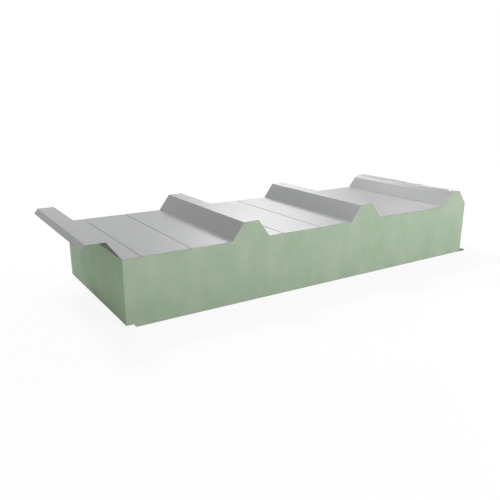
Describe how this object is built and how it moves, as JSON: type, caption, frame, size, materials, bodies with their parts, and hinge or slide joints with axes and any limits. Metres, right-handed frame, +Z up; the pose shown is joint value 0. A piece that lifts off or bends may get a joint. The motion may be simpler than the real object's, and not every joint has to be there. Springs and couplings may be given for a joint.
{
  "type": "insulated sandwich panel",
  "caption": "Insulated roof panel: ribbed coated-steel weather sheet over a rigid foam core and a flat steel liner.",
  "frame": {"origin": "centre of the cover width and of the length, on the liner's underside", "axes": "+X across the ribs from the hollow lap rib to the liner's lip, +Y along the ribs, +Z up through the weather sheet"},
  "size_m": [1.0918, 0.373, 0.178],
  "materials": {
    "outer_sheet": "light grey coil coating, low gloss",
    "foam_core": "pale green rigid foam, sawn ends and moulded sides",
    "inner_sheet": "light grey liner coating, low gloss"
  },
  "bodies": {
    "root": {"outer_sheet": "outer_sheet", "foam_core": "foam_core", "inner_sheet": "inner_sheet"}
  },
  "joints": []
}
